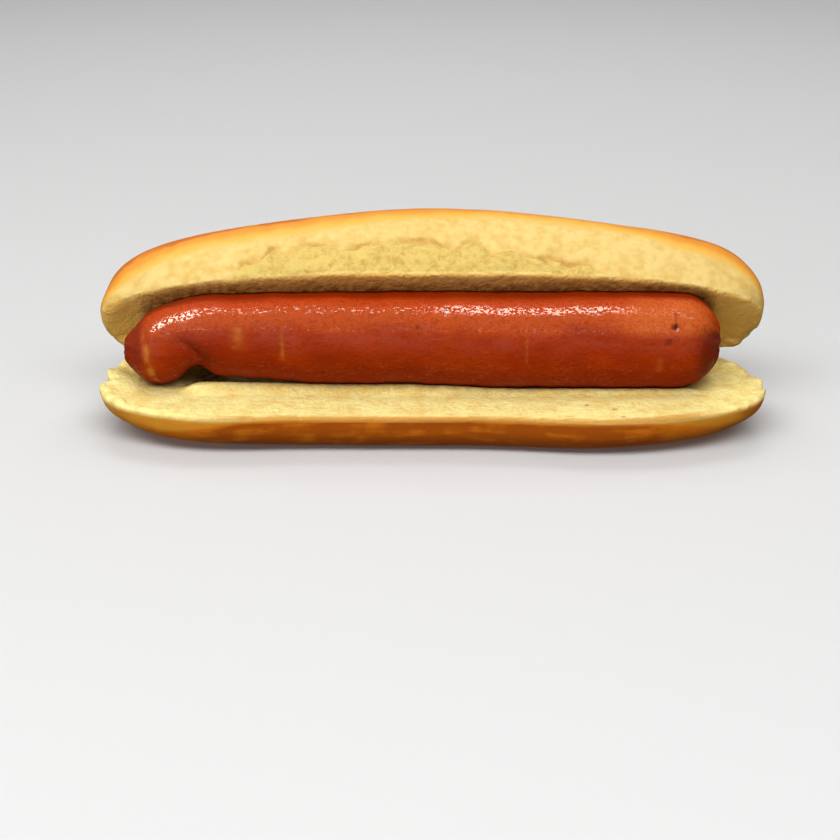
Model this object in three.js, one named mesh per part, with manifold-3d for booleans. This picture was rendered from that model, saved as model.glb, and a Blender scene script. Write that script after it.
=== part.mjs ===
// Hot dog: one long sausage lying in a soft bun. The bun is slit along its front, stays joined
// along its back, and stands open with its upper half tipped back.
// Millimetres, +Z up, X along the sausage, -Y towards the open side, origin under the middle.
import * as THREE from 'three';
import { mergeVertices } from 'three/addons/utils/BufferGeometryUtils.js';
import Module from 'manifold-3d';

// Lower half of the bun. A plan power of 2 is an ellipse, more is a boxier rounded rectangle.
const LOWER_PLAN = { halfLength: 82, halfWidth: 25.53, power: 2.95 };
const LOWER_MIDDLE_Y = -8.2;
const SLIT_HEIGHT = 9.9; // height of the cut face above the base
const BASE_POWER = 3.3;
const BASE_TRIM = 1; // how much of the rounded underside is pressed flat
const TIP_LIFT = 1; // the tips of the cut face curl upwards
const FRONT_DENT = { middleX: -8, depth: 4.6, width: 40 }; // the front wall is flattened in here

// Upper half, measured from its own cut face. Opening has drawn it narrower than the lower half.
const UPPER_PLAN = { halfLength: 83.2, halfWidth: 21, power: 2.82 };
const DOME_HEIGHT = 27.4;
const DOME_POWER = 3.16;
const RIDGE_FALL = 0.36; // share of the height that the ridge line falls from the middle to a tip
const RIDGE_SOFTNESS = 0.16; // share of the half length over which the ridge line turns over
const TIP_FULLNESS = { left: 0.25, right: 0.38 }; // share of the height that a tip wins back
const MOUTH_ARCH = 1.3; // the front cut edge bows upwards at mid length

// The hinge line lies a little inside the back edge of each half, and the upper half turns about it.
const HINGE_INSET = { lower: 2.93, upper: 5 };
const OPEN_ANGLE = THREE.MathUtils.degToRad(50);

// Torn patch on the front wall of the upper half, where a neighbouring loaf was pulled away.
const TORN_MIDDLE_X = -2;
const TORN_HALF_LENGTH = 48;
const TORN_HEIGHT = 10.1;
const TORN_SHAPE_POWER = 2.6; // how squarely its upper border drops at the ends
const TORN_GROOVE_DEPTH = 0.9;
const TORN_GROOVE_WIDTH = 2.4;
const TORN_BUMP = { height: 0.35, alongX: 0.6 };
const TORN_WANDER = { height: 0.8, wavelength: 37 };
const TORN_FADE = { front: [0.35, 0.8], aboveCut: [0.01, 0.06] }; // where the patch sets in

// Ragged tips of the cut edges.
const RAGGED_DEPTH = 0.9;
const RAGGED_START = 0.8; // share of the half length where they begin
const RAGGED_WAVELENGTH = 17;

// Sausage.
const SAUSAGE_RADIUS = 11.9;
const SAUSAGE_LEFT = -76.4;
const SAUSAGE_RIGHT = 70.9;
const SAUSAGE_MIDDLE_Y = -6.6;
const SAUSAGE_SINK = 0.3; // how far it is pressed into the lower cut face
const NOSE_POWER = { left: 2.9, right: 2.2 }; // 2 is a hemisphere, more is blunter
const SKIN_WAVE = { height: 0.2, alongX: 0.5, around: 3 };

// The body is slimmer left of its middle, and its top stays level.
const SLIM = { startX: 24, endX: -8, radius: 0.55 };

// Folded left end: the body tapers and rises, is creased from below, and droops again.
const NECK_START_X = -20;
const NECK_TAPER = 0.11; // share of the radius
const NECK_LIFT = 0.6;
const FOLD_X = -58.7;
const FOLD_DEPTH = 3.6;
const FOLD_WIDTH = 3.2;
const FOLD_REACH_POWER = 1.5; // how fast the crease fades from the underside up the flanks
const END_DROOP = 3.6;
const CASING_NUB_RADIUS = 7; // twist of casing that closes the end
const CASING_NUB_REACH = 2.2;

const BED_GAP = 0.45; // the bun stays this far off the sausage where it is pressed in

// Mesh density.
const LOWER_CELLS = { along: 40, across: 14, up: 5 };
const UPPER_CELLS = { along: 40, across: 14, up: 8 };
const SAUSAGE_CELLS = { round: 28, along: 38, nose: 8 };
const BED_CELLS = { round: 22, along: 24, nose: 6 };
const CROWN_REACH = 0.8; // share of the plan that the box's flat face covers; its sides do the rest

const hingeY = LOWER_MIDDLE_Y + LOWER_PLAN.halfWidth - HINGE_INSET.lower;
const sausageAxisZ = SLIT_HEIGHT + SAUSAGE_RADIUS - SAUSAGE_SINK;

// 0 at from, 1 at to, with soft ends.
function ease(from, to, x) {
  const t = THREE.MathUtils.clamp((x - from) / (to - from), 0, 1);
  return t * t * (3 - 2 * t);
}

function bell(x, width) {
  return Math.exp(-((x / width) ** 2));
}

// Even, repeatable unevenness between about -1 and 1, from waves that never line up.
function unevenness(x, y, z) {
  return (
    0.4 * Math.sin(0.31 * x + 0.9 * y + 1.3) +
    0.35 * Math.sin(0.83 * x - 0.47 * z + 0.4) +
    0.25 * Math.sin(1.71 * x + 0.66 * y + 1.1 * z)
  );
}

// Radius of a superellipse quarter, 1 at t = 0 and 0 at t = 1.
function quarter(t, power) {
  return Math.max(0, 1 - t ** power) ** (1 / power);
}

// A point of a half's plan: u and v run over a square, the result over the rounded rectangle.
function planPoint(plan, u, v, reach) {
  const square = Math.max(Math.abs(u), Math.abs(v));
  if (square === 0) return [0, 0];
  const du = u / square;
  const dv = v / square;
  const shrink = (Math.abs(du) ** plan.power + Math.abs(dv) ** plan.power) ** (-1 / plan.power);
  return [reach * plan.halfLength * du * shrink, reach * plan.halfWidth * dv * shrink];
}

// How far the cut edge is torn back or pulled out along X, near the tips only.
function raggedShift(share, y) {
  const nearTip = ease(RAGGED_START, 1, Math.abs(share));
  const side = Math.sign(share);
  return RAGGED_DEPTH * nearTip * Math.sin((2 * Math.PI * y) / RAGGED_WAVELENGTH + side);
}

// Height of the ridge line along the dome, as a share of its height in the middle.
function ridge(share) {
  const tent = Math.hypot(share, RIDGE_SOFTNESS) - RIDGE_SOFTNESS;
  const fullness = share < 0 ? TIP_FULLNESS.left : TIP_FULLNESS.right;
  return 1 - RIDGE_FALL * tent + fullness * share ** 4;
}

// Outward push of the front wall: a rough patch with a groove along its upper border.
function tornRelief(x, height) {
  const share = Math.abs((x - TORN_MIDDLE_X) / TORN_HALF_LENGTH);
  if (share >= 1) return 0;
  const wander = TORN_WANDER.height * Math.sin((2 * Math.PI * x) / TORN_WANDER.wavelength);
  const border = TORN_HEIGHT * (1 - share ** TORN_SHAPE_POWER) + wander;
  const groove = TORN_GROOVE_DEPTH * bell(height - border, TORN_GROOVE_WIDTH);
  const bump = TORN_BUMP.height * unevenness(TORN_BUMP.alongX * x, height, 0);
  return (height < border ? bump : 0) - groove;
}

// Half a loaf, from a box whose top and sides become the crust and whose bottom becomes the cut
// face. shape takes x and y in the half's plan, the rise from the cut face and the reach from the
// middle, both 0 to 1, and gives the finished point.
function loafHalf(cells, plan, power, shape) {
  const geometry = new THREE.BoxGeometry(2, 2, 2, cells.along, cells.across, cells.up);
  const crownRise = quarter(CROWN_REACH, power);
  const p = geometry.getAttribute('position');
  for (let i = 0; i < p.count; i++) {
    const [u, v, w] = [p.getX(i), p.getY(i), p.getZ(i)];
    const onTop = w > 0.999;
    const onCut = w < -0.999;
    let reach = Math.max(Math.abs(u), Math.abs(v));
    let rise = 0;
    if (onTop) {
      reach *= CROWN_REACH;
      rise = quarter(reach, power);
    } else if (!onCut) {
      rise = (crownRise * (w + 1)) / 2;
      reach = quarter(rise, power);
    }
    const [x, y] = planPoint(plan, u, v, reach);
    p.setXYZ(i, ...shape(x, y, rise, reach));
  }
  return geometry;
}

function lowerHalf() {
  const height = SLIT_HEIGHT + BASE_TRIM;
  return loafHalf(LOWER_CELLS, LOWER_PLAN, BASE_POWER, (x, y, depth, reach) => {
    const share = x / LOWER_PLAN.halfLength;
    const cutZ = SLIT_HEIGHT + TIP_LIFT * share ** 2 * (1 - depth);
    const ragged = raggedShift(share, y) * (1 - depth) * reach;
    const frontness = Math.max(0, y / LOWER_PLAN.halfWidth);
    const along = (x - FRONT_DENT.middleX) / FRONT_DENT.width;
    const dent = FRONT_DENT.depth * bell(along ** 2, 1) * frontness;
    // Turned over, so that the crust is below: y is mirrored to keep the faces pointing out.
    return [x + ragged, LOWER_MIDDLE_Y - y + dent, Math.max(0, cutZ - height * depth)];
  });
}

function upperHalf() {
  const cos = Math.cos(OPEN_ANGLE);
  const sin = Math.sin(OPEN_ANGLE);
  const backFromHinge = HINGE_INSET.upper - UPPER_PLAN.halfWidth;
  return loafHalf(UPPER_CELLS, UPPER_PLAN, DOME_POWER, (x, y, rise, reach) => {
    const share = x / UPPER_PLAN.halfLength;
    const frontness = Math.max(0, -y / UPPER_PLAN.halfWidth);
    const arch = MOUTH_ARCH * (1 - share ** 4) * frontness ** 2;
    const height = DOME_HEIGHT * rise * ridge(share);
    const onWall = ease(...TORN_FADE.front, frontness) * ease(...TORN_FADE.aboveCut, rise);
    const ragged = raggedShift(share, y) * (1 - rise) * reach;
    const back = backFromHinge + y - onWall * tornRelief(x, height);
    const lift = height + arch;
    return [
      x + ragged,
      hingeY + back * cos + lift * sin,
      SLIT_HEIGHT - back * sin + lift * cos,
    ];
  });
}

// The sausage: a capsule along X, round at its right end and folded at its left.
// swell moves its whole surface outwards.
function sausageGeometry(cells, swell) {
  const radius = SAUSAGE_RADIUS;
  const bodyLeft = SAUSAGE_LEFT + CASING_NUB_REACH + radius;
  const bodyRight = SAUSAGE_RIGHT - radius;
  const geometry = new THREE.CapsuleGeometry(
    radius, bodyRight - bodyLeft, cells.nose, cells.round, cells.along,
  );
  geometry.rotateZ(-Math.PI / 2);
  geometry.translate((bodyRight + bodyLeft) / 2, 0, 0);
  const p = geometry.getAttribute('position');
  for (let i = 0; i < p.count; i++) {
    const [x, y, z] = [p.getX(i), p.getY(i), p.getZ(i)];
    const pastLeft = Math.max(bodyLeft - x, 0) / radius;
    const pastRight = Math.max(x - bodyRight, 0) / radius;
    const noseSection = quarter(pastLeft, NOSE_POWER.left) * quarter(pastRight, NOSE_POWER.right);
    const slim = SLIM.radius * ease(SLIM.startX, SLIM.endX, x);
    const neck = ease(NECK_START_X, FOLD_X, x);
    const droop = ease(FOLD_X + FOLD_WIDTH, bodyLeft - radius, x);
    const angle = Math.atan2(z, y);
    const under = Math.max(0, -Math.sin(angle)) ** FOLD_REACH_POWER;
    const crease = FOLD_DEPTH * bell(x - FOLD_X, FOLD_WIDTH) * under;
    const around = [SKIN_WAVE.around * Math.cos(angle), SKIN_WAVE.around * Math.sin(angle)];
    const wave = SKIN_WAVE.height * noseSection * unevenness(SKIN_WAVE.alongX * x, ...around);
    const full = (radius * (1 - NECK_TAPER * neck) - slim + swell) * noseSection;
    const section = full - crease + wave;
    const nub = CASING_NUB_REACH * ease(CASING_NUB_RADIUS, 0, section) * (pastLeft > 0 ? 1 : 0);
    p.setXYZ(
      i,
      x + swell * (pastRight - pastLeft) - nub,
      SAUSAGE_MIDDLE_Y + section * Math.cos(angle),
      sausageAxisZ + section * Math.sin(angle) + slim + NECK_LIFT * neck - END_DROOP * droop,
    );
  }
  return geometry;
}

const wasm = await Module();
wasm.setup();

function solidOf(geometry) {
  const bare = geometry.clone();
  bare.deleteAttribute('normal');
  bare.deleteAttribute('uv');
  const merged = mergeVertices(bare, 1e-3);
  return new wasm.Manifold(
    new wasm.Mesh({
      numProp: 3,
      vertProperties: new Float32Array(merged.getAttribute('position').array),
      triVerts: new Uint32Array(merged.getIndex().array),
    }),
  );
}

function geometryOf(solid) {
  const mesh = solid.getMesh();
  const geometry = new THREE.BufferGeometry();
  geometry.setAttribute('position', new THREE.BufferAttribute(mesh.vertProperties, mesh.numProp));
  geometry.setIndex(new THREE.BufferAttribute(mesh.triVerts, 1));
  geometry.computeVertexNormals();
  return geometry;
}

function bun() {
  const bed = solidOf(sausageGeometry(BED_CELLS, BED_GAP));
  const loaf = solidOf(lowerHalf()).add(solidOf(upperHalf())).subtract(bed);
  const crust = new THREE.MeshStandardMaterial({ color: 0xe6b35c, roughness: 0.7, metalness: 0 });
  const mesh = new THREE.Mesh(geometryOf(loaf), crust);
  mesh.name = 'bun';
  return mesh;
}

function sausage() {
  const skin = new THREE.MeshStandardMaterial({ color: 0xa03a12, roughness: 0.35, metalness: 0 });
  const mesh = new THREE.Mesh(geometryOf(solidOf(sausageGeometry(SAUSAGE_CELLS, 0))), skin);
  mesh.name = 'sausage';
  return mesh;
}

const hotDog = new THREE.Group();
hotDog.add(bun(), sausage());

export default hotDog;
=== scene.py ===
"""Hot dog: one long sausage lying in a soft bun that stands half open.

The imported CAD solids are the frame. Both are replaced here by finer pieces of the same form: the
bread gets its crust, torn side and crumb, and the sausage its wrinkled, oily skin. Forms are worked
out in millimetres and brought to metres when they become a mesh.
"""

import logging
import math
from dataclasses import dataclass, field
from enum import Enum
from typing import Any, Sequence

import bpy
import numpy as np
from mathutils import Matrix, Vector


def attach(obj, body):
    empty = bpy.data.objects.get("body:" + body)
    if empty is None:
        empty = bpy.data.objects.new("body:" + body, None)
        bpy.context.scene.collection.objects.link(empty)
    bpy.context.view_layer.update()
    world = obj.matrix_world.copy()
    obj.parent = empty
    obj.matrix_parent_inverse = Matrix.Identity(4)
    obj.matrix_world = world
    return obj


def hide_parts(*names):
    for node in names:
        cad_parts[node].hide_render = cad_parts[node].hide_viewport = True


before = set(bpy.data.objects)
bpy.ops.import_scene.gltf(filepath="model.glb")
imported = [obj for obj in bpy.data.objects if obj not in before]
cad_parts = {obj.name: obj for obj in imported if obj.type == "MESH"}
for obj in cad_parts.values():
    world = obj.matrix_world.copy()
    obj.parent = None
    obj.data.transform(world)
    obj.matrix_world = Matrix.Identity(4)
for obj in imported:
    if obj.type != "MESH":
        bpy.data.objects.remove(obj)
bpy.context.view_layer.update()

MM = 0.001
LOG = logging.getLogger("hot_dog")

Array = np.ndarray

TINY = 1e-9
MERGE_DISTANCE = 1e-6
CUBE_FACE = 0.999
FAR = 9.0
EXP_LIMIT = 30


class Side(Enum):
    """Which part of the open bun a point of its surface belongs to."""

    LOWER = "lower"
    UPPER = "upper"


class Shine(Enum):
    """Whether a light is seen in glossy surfaces only, or lights matt surfaces only."""

    ONLY = "only"
    NONE = "none"


class Seed(Enum):
    """Start of the random numbers behind each use of noise, so that each run gives the same."""

    SKIN_RELIEF = 11
    SKIN_TONES = 12
    BREAD_RELIEF = 21
    TORN_BORDER = 22
    BROWNING = 23


def ease(start: float | Array, end: float | Array, x: Array) -> Array:
    """Run softly from 0 at start to 1 at end.

    Args:
        start: Value of x where the result leaves 0.
        end: Value of x where the result reaches 1.
        x: Values to map.

    Returns:
        Values between 0 and 1, with soft ends.
    """
    t = np.clip((x - start) / (end - start), 0, 1)
    return t * t * (3 - 2 * t)


def bell(x: Array, width: float) -> Array:
    """Give 1 at x = 0, falling to nothing a few widths away."""
    return np.exp(-((x / width) ** 2))


def quarter(t: Array, power: float) -> Array:
    """Give the radius of a superellipse quarter: 1 at t = 0 and 0 at t = 1."""
    return np.maximum(0, 1 - np.maximum(t, 0) ** power) ** (1 / power)


def unevenness(x: Array, y: Array, z: Array) -> Array:
    """Give the even, repeatable waviness that the CAD source gives its surfaces.

    Args:
        x: Places along.
        y: Places across.
        z: Heights.

    Returns:
        Values between -1 and 1.
    """
    return (
        0.4 * np.sin(0.31 * x + 0.9 * y + 1.3)
        + 0.35 * np.sin(0.83 * x - 0.47 * z + 0.4)
        + 0.25 * np.sin(1.71 * x + 0.66 * y + 1.1 * z)
    )


class Noise:
    """Smooth, repeatable noise between about -1 and 1, from a seeded table."""

    TABLE_SIZE = 4096
    PRIMES = (73856093, 19349663, 83492791)
    LAYER_SHIFT = 17.3

    def __init__(self, seed: Seed) -> None:
        """Fill the table."""
        self.table = np.random.default_rng(seed.value).uniform(-1, 1, self.TABLE_SIZE)

    def _corner(self, cell: Array) -> Array:
        """Give the table's value at the whole-number corner points.

        Args:
            cell: Whole-number places, one per row.

        Returns:
            One value per place.
        """
        key = np.zeros(len(cell), dtype=np.int64)
        for axis, prime in enumerate(self.PRIMES):
            key ^= cell[:, axis] * prime
        return self.table[key % self.TABLE_SIZE]

    def at(self, points: Array, size: float) -> Array:
        """Read the noise.

        Args:
            points: Places in millimetres, one per row.
            size: Typical width of a bump in millimetres.

        Returns:
            One value per point.
        """
        scaled = points / size
        cell = np.floor(scaled).astype(np.int64)
        part = scaled - cell
        part = part * part * (3 - 2 * part)
        total = np.zeros(len(points))
        for corner in np.ndindex(2, 2, 2):
            weight = np.prod(np.where(corner, part, 1 - part), axis=1)
            total += weight * self._corner(cell + np.array(corner))
        return total

    def rough(self, points: Array, size: float, layers: int = 3) -> Array:
        """Add finer and finer layers of noise, each half as wide and half as strong.

        Args:
            points: Places in millimetres, one per row.
            size: Typical width of the widest bumps.
            layers: How many layers there are.

        Returns:
            One value per point.
        """
        total = np.zeros(len(points))
        for layer in range(layers):
            total += self.at(points + self.LAYER_SHIFT * layer, size / 2**layer) / 2**layer
        return total


def deselect_all() -> None:
    """Leave object mode with nothing selected."""
    if bpy.context.mode != "OBJECT":
        bpy.ops.object.mode_set(mode="OBJECT")
    bpy.ops.object.select_all(action="DESELECT")


def make_active(piece: bpy.types.Object) -> None:
    """Select one object alone and make it the active one.

    Args:
        piece: Object to select.
    """
    deselect_all()
    piece.select_set(True)
    bpy.context.view_layer.objects.active = piece


def points_of(piece: bpy.types.Object) -> Array:
    """Read a mesh's points, in millimetres, one per row.

    Args:
        piece: Mesh object.

    Returns:
        The places of its points.
    """
    flat = np.empty(3 * len(piece.data.vertices))
    piece.data.vertices.foreach_get("co", flat)
    return flat.reshape(-1, 3) / MM


def normals_of(piece: bpy.types.Object) -> Array:
    """Read a mesh's outward point normals, one per row.

    Args:
        piece: Mesh object.

    Returns:
        Directions of length 1.
    """
    flat = np.empty(3 * len(piece.data.vertices))
    piece.data.vertex_normals.foreach_get("vector", flat)
    return flat.reshape(-1, 3)


def set_points(piece: bpy.types.Object, points: Array) -> None:
    """Move a mesh's points to the given places in millimetres."""
    piece.data.vertices.foreach_set("co", (points * MM).ravel())
    piece.data.update()


def paint(piece: bpy.types.Object, name: str, values: Array) -> None:
    """Store one number per point, which a material reads by name."""
    layer = piece.data.attributes.new(name, "FLOAT", "POINT")
    layer.data.foreach_set("value", np.asarray(values, dtype=np.float32))


def apply_modifier(piece: bpy.types.Object, kind: str, **settings: Any) -> None:
    """Add a modifier, set it and apply it.

    Args:
        piece: Object that gets it.
        kind: Blender's name of the modifier type.
        settings: Values of its properties.
    """
    make_active(piece)
    modifier = piece.modifiers.new(kind.title(), kind)
    for name, value in settings.items():
        setattr(modifier, name, value)
    bpy.ops.object.modifier_apply(modifier=modifier.name)


def turn_outwards(piece: bpy.types.Object) -> None:
    """Merge doubled points, then make all faces point outwards.

    Args:
        piece: Mesh object.
    """
    make_active(piece)
    bpy.ops.object.mode_set(mode="EDIT")
    bpy.ops.mesh.select_all(action="SELECT")
    bpy.ops.mesh.remove_doubles(threshold=MERGE_DISTANCE)
    bpy.ops.mesh.normals_make_consistent(inside=False)
    bpy.ops.object.mode_set(mode="OBJECT")


@dataclass(frozen=True)
class Ramp:
    """A soft step between two values, whose place may wander with the noise."""

    start: float
    end: float
    wander: float = 0.0

    def at(self, x: Array, noise: Array | float = 0.0) -> Array:
        """Give 0 before the start and 1 past the end."""
        return ease(self.start, self.end, x + self.wander * noise)


@dataclass(frozen=True)
class Hump:
    """A soft hump round a middle value, whose place may wander with the noise."""

    middle: float
    width: float
    wander: float = 0.0

    def at(self, x: Array, noise: Array | float = 0.0) -> Array:
        """Give 1 in the middle and nothing a few widths away."""
        return bell(x - self.middle + self.wander * noise, self.width)


@dataclass(frozen=True)
class Patch:
    """A part of a surface, limited along and across it by soft steps and humps."""

    strength: float
    along: tuple[Ramp | Hump, ...] = ()
    across: tuple[Ramp | Hump, ...] = ()

    def cover(self, along: Array, across: Array | float = 0.0, noise: Array | float = 0.0) -> Array:
        """Tell how strongly the patch covers each point.

        Args:
            along: Places along the surface.
            across: Places across it, or directions round it.
            noise: Noise that the limits wander with.

        Returns:
            The strength inside the patch, falling to 0 past its limits.
        """
        total = self.strength
        for limit in self.along:
            total = total * limit.at(along, noise)
        for limit in self.across:
            total = total * limit.at(across, noise)
        return total


@dataclass(frozen=True)
class Grain:
    """Height and typical width, in millimetres, of one kind of bumps."""

    height: float
    size: float


@dataclass(frozen=True)
class Plan:
    """Outline of a bun half seen from above its cut face, a rounded rectangle."""

    half_length: float
    half_width: float
    power: float

    def point(self, u: Array, v: Array, reach: Array) -> tuple[Array, Array]:
        """Bring a point of a square to the outline.

        Args:
            u: Place along the square, -1 to 1.
            v: Place across the square, -1 to 1.
            reach: Share of the way from the middle to the outline.

        Returns:
            The place along and across the half, in millimetres.
        """
        square = np.maximum(np.maximum(np.abs(u), np.abs(v)), TINY)
        du, dv = u / square, v / square
        spread = np.abs(du) ** self.power + np.abs(dv) ** self.power
        shrink = reach * spread ** (-1 / self.power)
        return self.half_length * du * shrink, self.half_width * dv * shrink

    def inside(self, x: Array, y: Array) -> Array:
        """Give how far points lie inside the outline, in millimetres.

        Args:
            x: Places along the half.
            y: Places across it, from its middle.

        Returns:
            One distance per point, below 0 outside.
        """
        along, across = np.abs(x) / self.half_length, np.abs(y) / self.half_width
        share = (along**self.power + across**self.power) ** (1 / self.power)
        return (1 - share) * self.half_width


@dataclass(frozen=True)
class Corner:
    """How a back corner of the lower half swells out and is then cut off towards the tip."""

    swell: float
    swell_start: float
    swell_end: float
    cut: float
    cut_start: float
    cut_end: float

    def loss(self, share: Array) -> Array:
        """Give the share of its width that the half loses, at a share of its half length."""
        swell = self.swell * ease(self.swell_start, self.swell_end, share)
        return self.cut * ease(self.cut_start, self.cut_end, share) - swell


@dataclass(frozen=True)
class Mark:
    """A short scratch, stain or dent that runs round part of the sausage."""

    x: float
    top: float
    bottom: float
    width: float
    depth: float = 0.0
    pale: float = 0.0
    dark: float = 0.0
    fade_out: float = 4.0
    fade_in: float = 2.0

    def cover(self, x: Array, angle: Array) -> Array:
        """Tell, from 0 to 1, which points the mark covers.

        Args:
            x: Place along the sausage.
            angle: Direction round it in degrees, 0 in front and 90 on top.

        Returns:
            One value per point.
        """
        above = ease(self.top + self.fade_out, self.top - self.fade_in, angle)
        below = ease(self.bottom - self.fade_out, self.bottom + self.fade_in, angle)
        return bell(x - self.x, self.width) * above * below


# The casing's scratches, pale stains, dents and dark spots, by their place along the sausage.
MARKS = (
    Mark(x=-36.6, top=31, bottom=-11, width=0.45, depth=0.08, pale=0.42),
    Mark(x=-47.6, top=30, bottom=2, width=1.5, depth=-0.05, pale=0.32),
    Mark(x=54.8, top=-4, bottom=-20, width=0.7, pale=0.24),
    Mark(x=22.5, top=20, bottom=-8, width=0.3, pale=0.22),
    Mark(x=3.2, top=60, bottom=50, width=0.35, depth=0.25, dark=0.7),
    Mark(x=58.5, top=52, bottom=36, width=0.3, depth=0.15, dark=0.55),
    Mark(x=58.3, top=36, bottom=32, width=1.0, depth=0.6, dark=0.9),
    Mark(x=56.9, top=18, bottom=13, width=1.1, depth=0.4, dark=0.4),
    Mark(x=-3.8, top=34, bottom=30, width=0.5, depth=0.2, dark=0.5),
)


@dataclass(frozen=True)
class Tie:
    """How the casing is gathered round the middle of the right nose, where it was tied."""

    place: tuple[float, float, float] = (-0.2, -1.8, 0.4)
    rays: int = 9
    ray_bend: float = 0.9
    ray_height: float = 0.24
    ray_span: Hump = Hump(4.4, 2.8)
    knot: float = 0.2
    knot_span: Hump = Hump(0.0, 1.0)
    hollow: float = 0.45
    hollow_span: Hump = Hump(1.8, 0.9)

    def push(self, away: Array) -> Array:
        """Give how far the casing is pushed outwards.

        Args:
            away: Places seen from the tie, one per row.

        Returns:
            Millimetres, negative where it is drawn in.
        """
        distance = np.linalg.norm(away, axis=1)
        turn = np.arctan2(away[:, 2], away[:, 1])
        rays = np.sin(self.rays * turn + self.ray_bend * np.sin(2 * turn)) * self.ray_height
        knot = self.knot * self.knot_span.at(distance)
        return rays * self.ray_span.at(distance) + knot - self.hollow * self.hollow_span.at(distance)


@dataclass(frozen=True)
class CurvedFold:
    """The fold that climbs from the notch at the left end and leans towards the tip."""

    foot_x: float = -56.2
    foot_angle: float = -17.0
    climb: float = 40.0
    lean: float = 6.0
    crease: Patch = Patch(0.6, (Hump(0.0, 0.9),), (Ramp(32, 8), Ramp(-70, -30)))
    dip: Patch = Patch(0.55, (Hump(0.6, 2.8),), (Ramp(32, 8), Ramp(-70, -30)))
    # Painted shade: the skin just right of the fold is painted darker.
    shade: Patch = Patch(0.34, (Hump(1.2, 2.0),), (Ramp(34, 12), Ramp(-45, -22)))

    def beside(self, x: Array, angle: Array) -> Array:
        """Give how far right of the fold places along the sausage lie."""
        return x - self.foot_x + self.lean * np.clip((angle - self.foot_angle) / self.climb, 0, 1)

    def depth(self, x: Array, angle: Array) -> Array:
        """Give how deep the fold presses the skin in."""
        beside = self.beside(x, angle)
        return self.crease.cover(beside, angle) + self.dip.cover(beside, angle)


@dataclass(frozen=True)
class TiedEnd:
    """The ring pressed round the casing at the left end, and the twist of the casing past it."""

    lean: float = 0.02
    middle_angle: float = -8.0
    ring: Patch = Patch(0.5, (Hump(-69.6, 0.8),), (Ramp(70, 30),))
    ring_tone: Patch = Patch(0.9, (Hump(-69.2, 0.8, 0.5),), (Ramp(30, 12), Ramp(-56, -40)))
    twist: Patch = Patch(0.1, (Ramp(-70.5, -74.5),))
    twist_turns: int = 9
    twist_pitch: float = 0.8

    def push(self, x: Array, angle: Array) -> Array:
        """Give how far the casing is pushed outwards.

        Args:
            x: Places along the sausage.
            angle: Directions round it in degrees, 0 in front and 90 on top.

        Returns:
            Millimetres, negative where it is pressed in.
        """
        turns = np.sin(np.radians(angle) * self.twist_turns + self.twist_pitch * x)
        off_middle = np.abs(angle - self.middle_angle)
        return self.twist.cover(x) * turns - self.ring.cover(x + self.lean * angle, off_middle)


# Tones of the skin that the material reads by name, by directions round the sausage in degrees.
# The upper side and top are painted light where light falls; the underside and the top beneath
# the bun's upper half are painted shade.
SKIN_PATCHES = {
    "crown_shade": Patch(1.0, (), (Ramp(68, 84, 4),)),
    "top": Patch(1.0, (), (Ramp(50, 68, 6),)),
    "upper": Patch(1.0, (), (Ramp(18, 38, 9),)),
    "under": Patch(1.0, (), (Ramp(5, -40, 6),)),
    "dusk": Patch(0.8, (), (Hump(20, 17, 5),)),
    "right_end": Patch(1.0, (Ramp(42, 52, 3), Ramp(69, 66)), (Ramp(18, 34), Ramp(84, 70))),
}


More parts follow.
